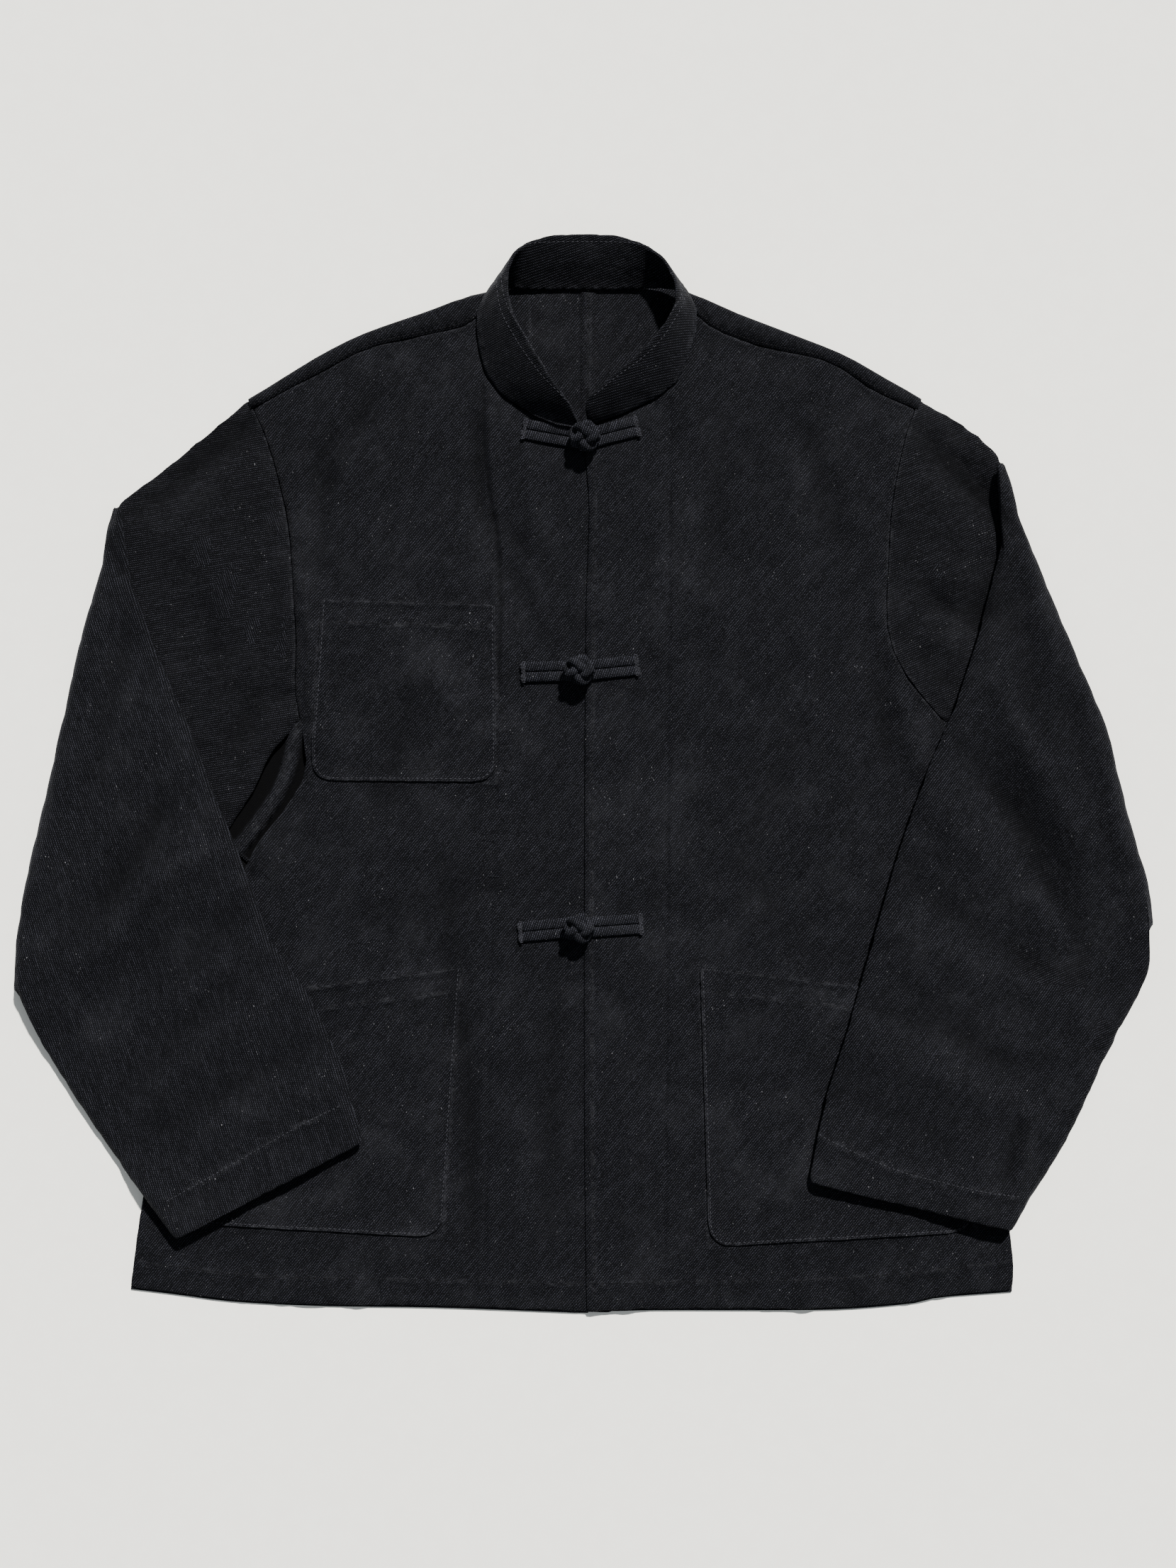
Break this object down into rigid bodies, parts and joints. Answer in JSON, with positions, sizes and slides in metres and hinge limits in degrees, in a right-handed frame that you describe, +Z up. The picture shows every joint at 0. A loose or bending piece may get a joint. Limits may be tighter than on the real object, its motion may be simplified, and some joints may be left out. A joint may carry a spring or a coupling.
{
  "type": "mandarin collar jacket laid flat",
  "caption": "Black cotton twill jacket with a stand collar, knotted cord fastenings and patch pockets, laid flat with its sleeves folded in.",
  "frame": {"origin": "middle of the bounding box in plan, on the surface that the jacket lies on", "axes": "+X towards the wearer's left, +Y towards the collar, +Z up from the surface, through the back and then the front"},
  "size_m": [0.8053, 0.7608, 0.036],
  "materials": {
    "body_twill": "matte cotton twill, near black",
    "sleeve_twill": "matte cotton twill, near black",
    "collar_twill": "matte cotton twill, near black",
    "pocket_twill": "matte cotton twill, paler at the worn edges",
    "frog_cord": "rolled cotton cord, near black"
  },
  "bodies": {
    "root": {"back_left": "body_twill", "back_right": "body_twill", "front_left": "body_twill", "front_right": "body_twill", "collar": "collar_twill", "sleeve_left": "sleeve_twill", "sleeve_right": "sleeve_twill", "chest_pocket": "pocket_twill", "hip_pocket_left": "pocket_twill", "hip_pocket_right": "pocket_twill", "frog_tail_1": "frog_cord", "frog_tail_2": "frog_cord", "frog_tail_3": "frog_cord", "frog_loop_1": "frog_cord", "frog_loop_2": "frog_cord", "frog_loop_3": "frog_cord", "frog_knot_1": "frog_cord", "frog_knot_2": "frog_cord", "frog_knot_3": "frog_cord"}
  },
  "joints": []
}
